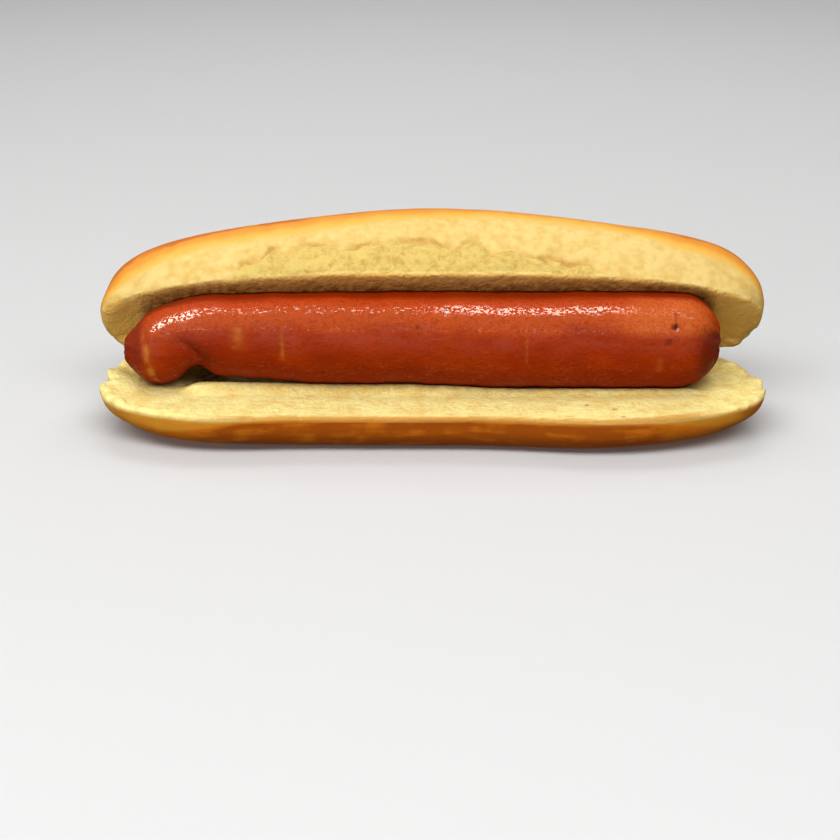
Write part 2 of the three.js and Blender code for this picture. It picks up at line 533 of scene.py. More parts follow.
@dataclass
class Sausage:
    """The sausage: a capsule along X, round at its right end and folded at its left."""

    radius: float = 11.9
    left: float = -76.4
    right: float = 70.9
    middle_y: float = -6.6
    axis_z: float = 21.5
    nose_power: dict[str, float] = field(default_factory=lambda: {"left": 2.9, "right": 2.2})
    wave: dict[str, float] = field(
        default_factory=lambda: {"height": 0.2, "along": 0.5, "around": 3.0}
    )
    slim: dict[str, float] = field(
        default_factory=lambda: {"start": 24.0, "end": -8.0, "radius": 0.55}
    )
    neck_start: float = -20.0
    neck_taper: float = 0.11
    neck_lift: float = 0.6
    fold_x: float = -58.7
    fold_depth: float = 3.6
    fold_width: float = 3.2
    fold_reach_power: float = 1.5
    end_droop: float = 3.6
    nub_radius: float = 7.0
    nub_face: float = 2.2
    nub_reach: float = 2.2
    tie: Tie = Tie()
    curved_fold: CurvedFold = CurvedFold()
    tied_end: TiedEnd = TiedEnd()
    swells: Grain = Grain(0.1, 9.0)
    wrinkles: Grain = Grain(0.035, 2.4)
    wrinkle_stretch: float = 0.45
    blotch_stretch: float = 0.6
    blotch_size: float = 7.0
    blotch_layers: int = 4
    fleck_size: float = 1.8
    fleck_mean: float = 0.7
    fleck_range: float = 0.7
    fleck_limit: float = 1.3
    glaze: tuple[Patch, ...] = (
        Patch(1.6, (Hump(-63, 8),), (Ramp(8, 24),)),
        Patch(1.0, (Ramp(-2, 6), Ramp(52, 38)), (Ramp(40, 50),)),
    )
    glaze_wander: float = 0.25
    glaze_limit: float = 1.5
    # Darker crescent round the right nose.
    nose_darkening: Patch = Patch(0.42, (Ramp(62.5, 66.5, 1),), (Ramp(-52, -30), Ramp(44, 26)))
    # Plum tone beside the left fold.
    fold_tone: Patch = Patch(0.55, (Hump(-55.5, 4.0),), (Hump(6, 14),))
    nub_tone: Ramp = Ramp(-70.0, -72.5)
    rings: int = 460
    around: int = 204

    @property
    def body_left(self) -> float:
        """Middle of the left nose."""
        return self.left + self.nub_reach + self.radius

    @property
    def body_right(self) -> float:
        """Middle of the right nose."""
        return self.right - self.radius

    def slimmed(self, x: Array) -> Array:
        """Give how much thinner the body is left of its middle."""
        return self.slim["radius"] * ease(self.slim["start"], self.slim["end"], x)

    def axis_height(self, x: Array) -> Array:
        """Give the height of the sausage's middle line at each x.

        Args:
            x: Places along the sausage.

        Returns:
            Heights above the floor.
        """
        neck = ease(self.neck_start, self.fold_x, x)
        droop = ease(self.fold_x + self.fold_width, self.body_left - self.radius, x)
        return self.axis_z + self.slimmed(x) + self.neck_lift * neck - self.end_droop * droop

    def section(self, x: Array, angle: Array, swell: float) -> Array:
        """Give the distance from the middle line to the surface.

        Args:
            x: Place along the sausage, of the plain capsule.
            angle: Direction around it, 0 towards the back and a quarter turn at the top.
            swell: How far the whole surface is moved outwards.

        Returns:
            The distance in millimetres.
        """
        past_left = np.maximum(self.body_left - x, 0) / self.radius
        past_right = np.maximum(x - self.body_right, 0) / self.radius
        nose = quarter(np.minimum(past_left, 1), self.nose_power["left"])
        nose = nose * quarter(np.minimum(past_right, 1), self.nose_power["right"])
        neck = ease(self.neck_start, self.fold_x, x)
        under = np.maximum(0, -np.sin(angle)) ** self.fold_reach_power
        crease = self.fold_depth * bell(x - self.fold_x, self.fold_width) * under
        turn = self.wave["around"]
        wave = self.wave["height"] * nose * unevenness(
            self.wave["along"] * x, turn * np.cos(angle), turn * np.sin(angle)
        )
        full = (self.radius * (1 - self.neck_taper * neck) - self.slimmed(x) + swell) * nose
        return full - crease + wave

    def form(self, x: Array, angle: Array) -> tuple[Array, Array]:
        """Give the finished points of the plain form.

        Args:
            x: Place along the plain capsule.
            angle: Direction around it.

        Returns:
            The points, one per row, and the distance of each from the middle line.
        """
        section = self.section(x, angle, 0)
        past_left = x < self.body_left
        nub = self.nub_reach * ease(self.nub_radius, self.nub_face, section) * past_left
        y = self.middle_y + section * np.cos(angle)
        z = self.axis_height(x) + section * np.sin(angle)
        return np.stack([x - nub, y, z], axis=1), section

    def build(self) -> bpy.types.Object:
        """Model the sausage from a sphere with its poles on X.

        Returns:
            The finished piece, named and painted.
        """
        deselect_all()
        bpy.ops.mesh.primitive_uv_sphere_add(segments=self.around, ring_count=self.rings, radius=1)
        piece = bpy.context.object
        piece.name = "sausage_skin"
        ball = points_of(piece) * MM
        latitude = np.arccos(np.clip(-ball[:, 2], -1, 1)) / math.pi
        angle = np.arctan2(ball[:, 1], ball[:, 0])
        x = self._along(latitude)
        points, section = self.form(x, angle)
        set_points(piece, points)
        turn_outwards(piece)
        self._relief(piece)
        self._tones(piece)
        bpy.ops.object.shade_smooth()
        return piece

    def dress(self, piece: bpy.types.Object) -> None:
        """Give the sausage its skin and its place in the frame."""
        settle(piece, Skin().material(), "sausage")

    def _along(self, latitude: Array) -> Array:
        """Spread rings evenly along the outline: over the left nose, the body and the right nose.

        Args:
            latitude: Place between the left pole, 0, and the right pole, 1.

        Returns:
            The place along the plain capsule.
        """
        arc = self.radius * math.pi / 2
        body = self.body_right - self.body_left
        run = latitude * (2 * arc + body)
        left = self.body_left - self.radius * np.cos(np.minimum(run, arc) / self.radius)
        after = np.maximum(run - arc - body, 0)
        right = self.radius * np.sin(np.minimum(after, arc) / self.radius)
        return left + np.clip(run - arc, 0, body) + right

    def _relief(self, piece: bpy.types.Object) -> None:
        """Press wrinkles, creases and puckers into the skin.

        Args:
            piece: The plain sausage.
        """
        points = points_of(piece)
        normals = normals_of(piece)
        noise = Noise(Seed.SKIN_RELIEF)
        stretched = points * np.array([self.wrinkle_stretch, 1.0, 1.0])
        push = self.swells.height * noise.at(points, self.swells.size)
        push += self.wrinkles.height * noise.rough(stretched, self.wrinkles.size)
        x, angle = points[:, 0], self._front_angle(points)
        tie = np.array([self.right, self.middle_y, self.axis_z]) + np.array(self.tie.place)
        push += self.tie.push(points - tie)
        push += self.tied_end.push(x, angle) - self.curved_fold.depth(x, angle)
        for mark in MARKS:
            push -= mark.depth * mark.cover(x, angle)
        set_points(piece, points + normals * push[:, None])

    def _front_angle(self, points: Array) -> Array:
        """Give each point's direction around the middle line in degrees, 0 in front and 90 on top."""
        rise = points[:, 2] - self.axis_height(points[:, 0])
        return np.degrees(np.arctan2(rise, self.middle_y - points[:, 1]))

    def _tones(self, piece: bpy.types.Object) -> None:
        """Paint the skin's tones: lit red on top and lighter on its upper side (painted light), darker
        on its crown and underside (painted shade), blotched, pale in its creases, or dark at its spots,
        in painted shade beside its left fold and in a crescent round its right nose.

        Args:
            piece: The finished shape of the sausage.
        """
        points = points_of(piece)
        angle = self._front_angle(points)
        noise = Noise(Seed.SKIN_TONES)
        stretched = points * np.array([self.blotch_stretch, 1, 1])
        blotch = noise.rough(stretched, self.blotch_size, self.blotch_layers)
        flecks = self.fleck_mean + self.fleck_range * noise.rough(points, self.fleck_size)
        flecks = np.clip(flecks, 0, self.fleck_limit)
        x = points[:, 0]
        for name, patch in SKIN_PATCHES.items():
            paint(piece, name, patch.cover(x, angle, blotch))
        paint(piece, "blotch", 0.5 + 0.5 * np.clip(blotch, -1, 1))
        wet = sum(patch.cover(x, angle) for patch in self.glaze)
        paint(piece, "wet", np.clip(wet + self.glaze_wander * blotch, 0, self.glaze_limit))
        pale = self.tied_end.ring_tone.cover(x + self.tied_end.lean * angle, angle, blotch)
        # Dark tone: a darker crescent round the right nose, painted shade beside the left fold, and the
        # marks' dark spots.
        dark = self.nose_darkening.cover(x, angle, blotch)
        dark = dark + self.curved_fold.shade.cover(self.curved_fold.beside(x, angle), angle)
        for mark in MARKS:
            pale = pale + mark.pale * mark.cover(x, angle)
            dark = dark + mark.dark * mark.cover(x, angle)
        paint(piece, "pale", np.clip(pale * flecks, 0, 1))
        paint(piece, "dark", np.clip(dark, 0, 1))
        paint(piece, "nub", np.clip(self.nub_tone.at(x) + self.fold_tone.cover(x, angle), 0, 1))


@dataclass(frozen=True)
class Pinch:
    """A small round rise, or a tear where its height is below 0, at a place seen from above."""

    x: float
    y: float
    height: float
    width: float

    def at(self, x: Array, y: Array) -> Array:
        """Give the height that it adds at places seen from above."""
        return self.height * bell(np.hypot(x - self.x, y - self.y), self.width)


@dataclass(frozen=True)
class Furrow:
    """The furrow along the torn patch's upper border, a sharp crack in a wider dip."""

    crack: Patch = Patch(1.1, (Hump(0.0, 0.75),))
    dip: Patch = Patch(0.3, (Hump(1.0, 2.4),))
    depth: float = 0.75
    least: float = 0.15
    change: Grain = Grain(0.8, 6.0)
    middle_x: float = -1.0
    reach: Ramp = Ramp(49, 44)
    full_tone: float = 1.2


@dataclass(frozen=True)
class Baking:
    """Where the crust is baked brown: heights on the dome and depths below the cut, in millimetres."""

    drift: Grain = Grain(1.4, 14.0)
    drift_stretch: float = 0.5
    dome_line: float = 19.3
    dome_power: float = 1.5
    left_fall: Patch = Patch(1.5, (Ramp(0, -40),))
    right_rise: Patch = Patch(1.0, (Ramp(5, 50),))
    top: Ramp = Ramp(-4.5, 8.0)
    base_start: float = 0.1
    base_blend: float = 0.9
    base_drift: float = 0.3
    tips: Ramp = Ramp(0.5, 0.9)
    tip_delay: float = 1.1
    tip_blend: float = 3.0
    tip_paleness: float = 0.4
    left_delay: Patch = Patch(1.2, (Ramp(-38, -58),))
    least: Patch = Patch(0.4, (Ramp(0.0, 2.0),))
    lip: Patch = Patch(1.0, (Ramp(1.3, 0.3),), (Ramp(1.4, 0.6),))
    lip_start: Ramp = Ramp(-66, -40)
    lip_fading: Patch = Patch(0.8, (Ramp(56, 72),))
    tip_patch: Patch = Patch(1.0, (Hump(79.0, 4.6),), (Hump(2.3, 1.9), Ramp(0.1, 0.8)))
    tip_front: Ramp = Ramp(-9, -14)


NO_TEAR = -3.0
# Upper border of the torn patch: places along the bun and heights above the cut face.
TORN_EDGE = (
    (-49, 3.0), (-47, 5.4), (-43, 6.2), (-40.5, 9.1), (-37.7, 9.6), (-35, 6.8), (-31.8, 10.6),
    (-25.4, 10.6), (-22.2, 8.3), (-15.3, 10.8), (-0.6, 11.6), (5.0, 8.4), (9.0, 11.3),
    (11.2, 11.3), (14.3, 7.3), (19.0, 8.1), (29.5, 5.8), (33, 4.5), (38.0, 4.7), (46, 1.5),
)

# Tiny dark specks on the crumb and the crust.
SPECKS = (
    (43.4, -24.7, 10.3), (45.2, -29.7, 10.3), (37.1, -22.1, 10.3), (-55.7, -5.5, 41.5),
)

# The notch and the spike at the lower half's left tip.
TIP_TEARS = (Pinch(-82, -6.0, -2.0, 1.5), Pinch(-83, -8.4, 1.3, 1.1))


@dataclass
class Bun:
    """The bun: two halves that stay joined along their back, the upper one tipped open."""

    lower: Plan = Plan(82, 25.53, 2.95)
    upper: Plan = Plan(83.2, 21, 2.82)
    middle_y: float = -8.2
    slit_height: float = 9.9
    base_power: float = 3.3
    base_trim: float = 1.0
    front_dent: dict[str, float] = field(
        default_factory=lambda: {"middle": -8.0, "depth": 4.6, "width": 40.0}
    )
    tip_lift: float = 1.0
    left_corner: Corner = Corner(0.42, 0.8, 0.93, 0.4, 0.99, 1.01)
    right_corner: Corner = Corner(0.2, 0.66, 0.85, 1.1, 0.91, 1.03)
    tip_rounding: dict[str, float] = field(default_factory=lambda: {"left": 0.2, "right": 0.12})
    dome_height: float = 27.4
    dome_power: float = 3.16
    ridge_fall: float = 0.36
    ridge_softness: float = 0.16
    tip_fullness: dict[str, float] = field(default_factory=lambda: {"left": 0.25, "right": 0.38})
    mouth_arch: float = 1.3
    hinge_inset: dict[str, float] = field(default_factory=lambda: {"lower": 2.93, "upper": 5.0})
    open_angle: float = math.radians(50)
    crown_reach: float = 0.8
    halves_blend: Ramp = Ramp(-0.4, 0.4)
    tip_ramp: Ramp = Ramp(0.78, 0.98)
    soft_edge: Patch = Patch(1.0, (Hump(0, 3.2),), (Ramp(5, 2),))
    soft_left: Ramp = Ramp(-8, -45)
    soft_least: float = 0.25
    soft_steps: int = 45
    bed_gap: float = 0.15
    bed_softness: float = 0.12
    bed_swell: Patch = Patch(1.0, (Ramp(-64, -58), Ramp(69, 62)), (Ramp(-9.5, -5.0), Ramp(0, -3)))
    bed_swell_limit: float = 2.0
    bed_reach: float = 3.0
    bed_margin: float = 1.0
    # Painted shade on the crumb: close to the sausage, along the front edge of the upper half's cut
    # face, and under the left fold's arch.
    upper_shade: Patch = Patch(0.8, (Ramp(6.5, 0.5),))
    lower_shade: Patch = Patch(0.5, (Ramp(7, 0.5),))
    mouth_shade: Patch = Patch(0.75, (Ramp(76, 64),), (Ramp(1.0, 7.5),))
    fold_shade: Patch = Patch(0.95, (Hump(2.5, 7.5),), (Ramp(-7.5, -4.5),))
    swells: Grain = Grain(0.1, 24.0)
    dome_swell: float = 0.18
    waves: Grain = Grain(0.1, 8.0)
    lumps: Grain = Grain(0.6, 3.6)
    lump_rise: float = 0.2
    lump_start: Ramp = Ramp(0, 4)
    crumb_grain: Grain = Grain(0.12, 4.5)
    rags: Grain = Grain(0.9, 3.6)
    rag_shift: float = 40.0
    rag_start: Ramp = Ramp(0.8, 0.93)
    hinge_edge: Ramp = Ramp(6, 1)
    rim_rise: float = 0.25
    rim_span: Patch = Patch(1.0, (Hump(0, 1.4),), (Hump(0, 1.6),))
    right_tip: Patch = Patch(0.8, (Ramp(0.86, 0.98),), (Ramp(0, 4), Ramp(14, 6)))
    left_tip: Patch = Patch(1.1, (Ramp(-0.9, -0.99),), (Hump(1, 4),))
    tear_height: Ramp = Ramp(7.5, 9.5)
    speck_size: float = 0.6
    front: Patch = Patch(1.0, (Ramp(0.35, 0.8),), (Ramp(0.2, 1.2),))
    border_grain: Grain = Grain(0.7, 2.8)
    torn_ramp: Ramp = Ramp(0.3, -0.9)
    furrow_form: Furrow = Furrow()
    upper_crumb: Ramp = Ramp(0.9, 0.1)
    lower_crumb: Ramp = Ramp(0.9, 0.3)
    baking: Baking = Baking()
    cuts: int = 70
    voxel: float = 0.68

    @property
    def hinge_y(self) -> float:
        """Place of the hinge line across the bun."""
        return self.middle_y + self.lower.half_width - self.hinge_inset["lower"]

    def _loaf(self, cube: Array, plan: Plan, power: float) -> tuple[Array, Array, Array, Array]:
        """Bring a cube's surface to half a loaf: its bottom becomes the cut face.

        Args:
            cube: Points of a cube from -1 to 1.
            plan: Outline of the half.
            power: How boxy the crust is over its height.

        Returns:
            Places along and across, the rise from the cut face and the reach from the middle.
        """
        u, v, w = cube.T
        crown_rise = quarter(np.array(self.crown_reach), power)
        square = np.maximum(np.abs(u), np.abs(v))
        on_top, on_cut = w > CUBE_FACE, w < -CUBE_FACE
        side_rise = crown_rise * (w + 1) / 2
        reach = np.where(on_top, square * self.crown_reach, np.where(on_cut, square, 1))
        rise = np.where(on_top, quarter(reach, power), np.where(on_cut, 0, side_rise))
        reach = np.where(on_top | on_cut, reach, quarter(side_rise, power))
        x, y = plan.point(u, v, reach)
        return x, y, rise, reach

    def _half(self, side: Side) -> bpy.types.Object:
        """Model one half from a cube, cut into small faces in edit mode.

        Args:
            side: Which half.

        Returns:
            The half, in its place on the open bun.
        """
        deselect_all()
        bpy.ops.mesh.primitive_cube_add(size=2)
        piece = bpy.context.object
        piece.name = f"{side.value}_half"
        bpy.ops.object.mode_set(mode="EDIT")
        bpy.ops.mesh.select_all(action="SELECT")
        bpy.ops.mesh.subdivide(number_cuts=self.cuts)
        bpy.ops.object.mode_set(mode="OBJECT")
        cube = points_of(piece) * MM
        shape = self._lower_form if side is Side.LOWER else self._upper_form
        set_points(piece, shape(cube))
        turn_outwards(piece)
        return piece

    def _lower_form(self, cube: Array) -> Array:
        """Shape the lower half, with its crust below.

        Args:
            cube: Points of a cube from -1 to 1.

        Returns:
            Places in millimetres, one per row.
        """
        x, y, depth, reach = self._loaf(cube, self.lower, self.base_power)
        share = x / self.lower.half_length
        cut = self.slit_height + self.tip_lift * share**2 * (1 - depth)
        rounding = np.where(share < 0, self.tip_rounding["left"], self.tip_rounding["right"])
        height = self.slit_height + self.base_trim
        height = height * (1 - rounding * self.tip_ramp.at(np.abs(share)))
        z = np.maximum(0, cut - height * depth)
        corner = np.where(share < 0, self.left_corner.loss(-share), self.right_corner.loss(share))
        y = np.where(y > 0, y * (1 - self.dent(x)), y * (1 - corner))
        return np.stack([x, self.middle_y - y, z], axis=1)

    def dent(self, x: Array) -> Array:
        """Give the share of its width that the flattened front wall loses at each x."""
        along = (x - self.front_dent["middle"]) / self.front_dent["width"]
        return self.front_dent["depth"] * bell(along**2, 1) / self.lower.half_width

    def ridge(self, share: Array) -> Array:
        """Give the height of the dome's ridge line as a share of its height in the middle.

        Args:
            share: Places along the dome as shares of its half length.

        Returns:
            One share per place.
        """
        tent = np.hypot(share, self.ridge_softness) - self.ridge_softness
        fullness = np.where(share < 0, self.tip_fullness["left"], self.tip_fullness["right"])
        return 1 - self.ridge_fall * tent + fullness * share**4

    def _upper_form(self, cube: Array) -> Array:
        """Shape the upper half and tip it back about the hinge.

        Args:
            cube: Points of a cube from -1 to 1.

        Returns:
            Places in millimetres, one per row.
        """
        x, y, rise, _ = self._loaf(cube, self.upper, self.dome_power)
        share = x / self.upper.half_length
        lift = self.dome_height * rise * self.ridge(share) + self.arch(share, y)
        back = self.hinge_inset["upper"] - self.upper.half_width + y
        return self._opened(x, back, lift)

    def _opened(self, x: Array, back: Array, lift: Array) -> Array:
        """Turn places of the closed upper half about the hinge to where they stand.

        Args:
            x: Places along the half.
            back: How far behind the hinge they lie.
            lift: Their heights above the cut face.

        Returns:
            Places in millimetres, one per row.
        """
        cos, sin = math.cos(self.open_angle), math.sin(self.open_angle)
        y = self.hinge_y + back * cos + lift * sin
        z = self.slit_height - back * sin + lift * cos
        return np.stack([x, y, z], axis=1)

    def closed_upper(self, points: Array) -> tuple[Array, Array]:
        """Read the places of points as if the bun were closed.

        Args:
            points: Places on the open bun.

        Returns:
            How far behind the upper half's middle each lies, and its height above the cut face.
        """
        cos, sin = math.cos(self.open_angle), math.sin(self.open_angle)
        dy = points[:, 1] - self.hinge_y
        dz = points[:, 2] - self.slit_height
        back = dy * cos - dz * sin
        lift = dy * sin + dz * cos
        return back - self.hinge_inset["upper"] + self.upper.half_width, lift

    def in_upper(self, points: Array) -> Array:
        """Tell, softly from 0 to 1, which points lie on the upper half.

        Args:
            points: Places on the piece in millimetres, one per row.

        Returns:
            One value per point.
        """
        dy = points[:, 1] - self.hinge_y
        dz = points[:, 2] - self.slit_height
        half = self.open_angle / 2
        above = dz * math.cos(half) + dy * math.sin(half)
        _, lift = self.closed_upper(points)
        return self.halves_blend.at(np.where(dy < 0, above, lift))

    def build(self, sausage: Sausage) -> bpy.types.Object:
        """Model the bread as one piece, pressed in where the sausage lies.

        Args:
            sausage: The sausage that lies in the bun.

        Returns:
            The finished piece, named and painted.
        """
        lower = self._half(Side.LOWER)
        upper = self._half(Side.UPPER)
        make_active(lower)
        upper.select_set(True)
        bpy.ops.object.join()
        lower.name = "bread"
        apply_modifier(lower, "REMESH", mode="VOXEL", voxel_size=self.voxel * MM)
        apply_modifier(lower, "SMOOTH", factor=0.5, iterations=3)
        self._soften(lower)
        self._relief(lower)
        self._press(lower, sausage)
        self._browning(lower)
        make_active(lower)
        bpy.ops.object.shade_smooth()
        return lower

    def dress(self, piece: bpy.types.Object) -> None:
        """Give the bread its finish and its place in the frame."""
        settle(piece, Bread().material(), "bun")

    def _soften(self, piece: bpy.types.Object) -> None:
        """Round the upper cut edge, most at the left end, where the bread gave way softly.

        Args:
            piece: The bread, both halves joined.
        """
        points = points_of(piece)
        across, lift = self.closed_upper(points)
        x = points[:, 0]
        weight = self.in_upper(points) * self.soft_edge.cover(lift, self.upper.inside(x, across))
        weight *= self.soft_least + (1 - self.soft_least) * self.soft_left.at(x)
        group = piece.vertex_groups.new(name="soft_edge")
        for index in np.flatnonzero(weight > 0.05):
            group.add([int(index)], float(weight[index]), "REPLACE")
        apply_modifier(piece, "SMOOTH", factor=0.5, iterations=self.soft_steps, vertex_group=group.name)
        piece.vertex_groups.clear()

    def _press(self, piece: bpy.types.Object, sausage: Sausage) -> None:
        """Let the crumb swell up under the sausage, paint shade on the crumb near it, under the upper
        half's front edge and under the left fold, then push the bread off it by a thin gap.

        Args:
            piece: The bread.
            sausage: The sausage that lies in it.
        """
        points = points_of(piece)
        x = points[:, 0]
        dy = points[:, 1] - sausage.middle_y
        radius = sausage.radius - sausage.slimmed(x) + self.bed_gap
        underside = sausage.axis_height(x) - np.sqrt(np.maximum(radius**2 - dy**2, 0))
        under = self.bed_swell.cover(x, dy) * self.crumb(points) * (1 - self.in_upper(points))
        points[:, 2] += under * np.clip(underside - points[:, 2], 0, self.bed_swell_limit)
        dz = points[:, 2] - sausage.axis_height(x)
        distance = np.maximum(np.hypot(dy, dz), TINY)
        reach = sausage.section(x, np.arctan2(dz, dy), 0) + self.bed_gap
        near = (x > sausage.left - self.bed_margin) & (x < sausage.right + self.bed_margin)
        over = np.clip((reach - distance) / self.bed_softness, -EXP_LIMIT, EXP_LIMIT)
        push = np.where(near, self.bed_softness * np.log1p(np.exp(over)), 0)
        push = np.where(distance > reach + self.bed_reach, 0, push)
        gap = np.where(near, np.maximum(distance - reach, 0), FAR)
        upper = self.in_upper(points)
        across, _ = self.closed_upper(points)
        # Painted shade on the crumb near the sausage, under the upper half's front edge and under the
        # left fold's arch.
        mouth = self.mouth_shade.cover(np.abs(x), self.upper.inside(x, across))
        above = np.maximum(self.upper_shade.cover(gap), mouth)
        beside = np.maximum(self.lower_shade.cover(gap), self.fold_shade.cover(x - sausage.fold_x, dy))
        painted_crumb_shade = upper * above + (1 - upper) * beside
        paint(piece, "painted_crumb_shade", painted_crumb_shade * self.crumb(points))
        points[:, 1] += dy / distance * push
        points[:, 2] += dz / distance * push
        set_points(piece, points)

    def _relief(self, piece: bpy.types.Object) -> None:
        """Give the crust its unevenness, the torn side its lumps and the crumb its roughness.

        Args:
            piece: The bread.
        """
        points, normals = points_of(piece), normals_of(piece)
        noise = Noise(Seed.BREAD_RELIEF)
        upper = self.in_upper(points)
        _, lift = self.closed_upper(points)
        push = (self.swells.height + self.dome_swell * upper) * noise.at(points, self.swells.size)
        push += self.waves.height * noise.at(points, self.waves.size)
        lumps = self.lumps.height * noise.rough(points, self.lumps.size) + self.lump_rise
        push += self.torn(points) * self.lump_start.at(lift) * lumps
        push += self.crumb(points) * self.crumb_grain.height * noise.rough(points, self.crumb_grain.size)
        rags = self.rags.height * noise.rough(points + self.rag_shift, self.rags.size)
        push += self.ragged(points) * rags
        push += self.rim_rise * self.rim(points)
        share = points[:, 0] / self.upper.half_length
        push += upper * (self.right_tip.cover(share, lift) + self.left_tip.cover(share, lift))
        push += self._tears(points) - self.furrow(points)
        points = points + normals * push[:, None]
        points[:, 2] = np.maximum(points[:, 2], 0)
        set_points(piece, points)

    def rim(self, points: Array) -> Array:
        """Tell, from 0 to 1, which points lie at the edge between cut face and crust.

        Args:
            points: Places on the piece in millimetres, one per row.

        Returns:
            One value per point.
        """
        x = points[:, 0]
        across, lift = self.closed_upper(points)
        upper = self.in_upper(points)
        high = self.rim_span.cover(lift, self.upper.inside(x, across))
        low_inside = self.lower.inside(x, self.across_low(points))
        low = self.rim_span.cover(self.below_cut(points), low_inside)
        return upper * high + (1 - upper) * low

    def ragged(self, points: Array) -> Array:
        """Tell, from 0 to 1, where the cut edges are torn ragged, near the tips of both halves.

        Args:
            points: Places on the piece in millimetres, one per row.

        Returns:
            One value per point.
        """
        across, _ = self.closed_upper(points)
        torn_back = 1 - self.in_upper(points) * self.hinge_edge.at(across)
        near_tip = self.rag_start.at(np.abs(points[:, 0]) / self.lower.half_length)
        return self.rim(points) * near_tip * torn_back

    def across_low(self, points: Array) -> Array:
        """Give how far behind the lower half's middle points lie, without its flattened front."""
        across = points[:, 1] - self.middle_y
        return np.where(across < 0, across / (1 - self.dent(points[:, 0])), across)

    def below_cut(self, points: Array) -> Array:
        """Give how far points lie below the lower half's cut face."""
        share = points[:, 0] / self.lower.half_length
        return self.slit_height + self.tip_lift * share**2 - points[:, 2]

    def _tears(self, points: Array) -> Array:
        """Tear a notch and a small spike into the left tip of the lower half.

        Args:
            points: Places on the piece in millimetres, one per row.

        Returns:
            How far each point is pushed outwards.
        """
        x, y, z = points.T
        height = sum(tear.at(x, y) for tear in TIP_TEARS)
        return height * self.tear_height.at(z) * (1 - self.in_upper(points))

    def specks(self, points: Array) -> Array:
        """Tell, from 0 to 1, which points lie in one of the few tiny dark specks.

        Args:
            points: Places on the piece in millimetres, one per row.

        Returns:
            One value per point.
        """
        total = np.zeros(len(points))
        for spot in SPECKS:
            total += bell(np.linalg.norm(points - np.array(spot), axis=1), self.speck_size)
        return np.clip(total, 0, 1)

    def torn_border(self, x: Array) -> Array:
        """Give the height of the torn patch's upper border above the cut face."""
        places, heights = zip(*TORN_EDGE)
        return np.interp(x, places, heights, left=NO_TEAR, right=NO_TEAR)

    def on_front(self, points: Array) -> Array:
        """Tell, from 0 to 1, which points lie on the front wall of the upper half."""
        across, lift = self.closed_upper(points)
        return self.in_upper(points) * self.front.cover(-across / self.upper.half_width, lift)

    def past_border(self, points: Array) -> Array:
        """Give how far above the torn patch's upper border points lie.

        Args:
            points: Places on the piece in millimetres, one per row.

        Returns:
            One distance per point.
        """
        _, lift = self.closed_upper(points)
        wander = self.border_grain.height * Noise(Seed.TORN_BORDER).rough(points, self.border_grain.size)
        return lift - self.torn_border(points[:, 0]) - wander

    def torn(self, points: Array) -> Array:
        """Tell, from 0 to 1, where the neighbouring loaf was torn off."""
        return self.on_front(points) * self.torn_ramp.at(self.past_border(points))

    def furrow(self, points: Array) -> Array:
        """Give the depth of the furrow along the torn patch's upper border.

        Args:
            points: Places on the piece in millimetres, one per row.

        Returns:
            One value per point.
        """
        form, past = self.furrow_form, self.past_border(points)
        change = form.change.height * Noise(Seed.TORN_BORDER).at(points, form.change.size)
        depth = np.maximum(form.least, form.depth + change)
        depth = depth * (form.crack.cover(past) + form.dip.cover(past))
        return depth * self.on_front(points) * form.reach.at(np.abs(points[:, 0] - form.middle_x))

    def arch(self, share: Array, across: Array) -> Array:
        """Give how far the upper half's cut face arches up towards its front edge."""
        front = np.clip(-across / self.upper.half_width, 0, 1)
        return self.mouth_arch * (1 - np.minimum(np.abs(share), 1) ** 4) * front**2

    def crumb(self, points: Array) -> Array:
        """Tell, from 0 to 1, where the soft inside of the bread shows at the cut.

        Args:
            points: Places on the piece in millimetres, one per row.

        Returns:
            One value per point.
        """
        across, lift = self.closed_upper(points)
        above = lift - self.arch(points[:, 0] / self.upper.half_length, across)
        upper = self.in_upper(points)
        lower_crumb = self.lower_crumb.at(self.below_cut(points))
        return upper * self.upper_crumb.at(above) + (1 - upper) * lower_crumb

    def _browning(self, piece: bpy.types.Object) -> None:
        """Paint how far each part of the crust is baked, and where crumb and torn bread show.

        Args:
            piece: The finished shape of the bread.
        """
        points = points_of(piece)
        baking, x = self.baking, points[:, 0]
        upper, crumb = self.in_upper(points), self.crumb(points)
        stretched = points * np.array([baking.drift_stretch, 1, 1])
        drift = Noise(Seed.BROWNING).rough(stretched, baking.drift.size)
        share = np.clip(np.abs(x) / self.upper.half_length, 0, 1)
        _, lift = self.closed_upper(points)
        border = baking.dome_line * np.sqrt(1 - np.minimum(share**baking.dome_power, 0.999))
        border = border - baking.left_fall.cover(x) + baking.right_rise.cover(x)
        border = border + baking.drift.height * drift
        depth = self.below_cut(points)
        inside = self.lower.inside(x, self.across_low(points))
        tips = baking.tips.at(np.abs(x) / self.lower.half_length)
        start = baking.base_start + baking.tip_delay * tips + baking.left_delay.cover(x)
        start = start + baking.base_drift * drift
        base = ease(start, start + baking.base_blend + baking.tip_blend * tips, depth)
        base = np.maximum(base * (1 - baking.tip_paleness * tips), baking.least.cover(depth))
        lip = baking.lip.cover(inside, depth) * baking.lip_start.at(x) * (1 - baking.lip_fading.cover(x))
        tip_patch = baking.tip_patch.cover(x, depth) * baking.tip_front.at(points[:, 1])
        paint(piece, "baked_top", baking.top.at(lift - border) * upper)
        paint(piece, "baked_base", base * (1 - upper))
        paint(piece, "crumb", crumb)
        paint(piece, "torn", self.torn(points))
        paint(piece, "furrow", np.clip(self.furrow(points) / self.furrow_form.full_tone, 0, 1))
        paint(piece, "lip", (1 - upper) * lip)
        paint(piece, "tip_patch", (1 - upper) * tip_patch)
        paint(piece, "speck", self.specks(points))
        # Where the upper half's crumb shows; the material paints shade there.
        paint(piece, "hollow", crumb * upper)


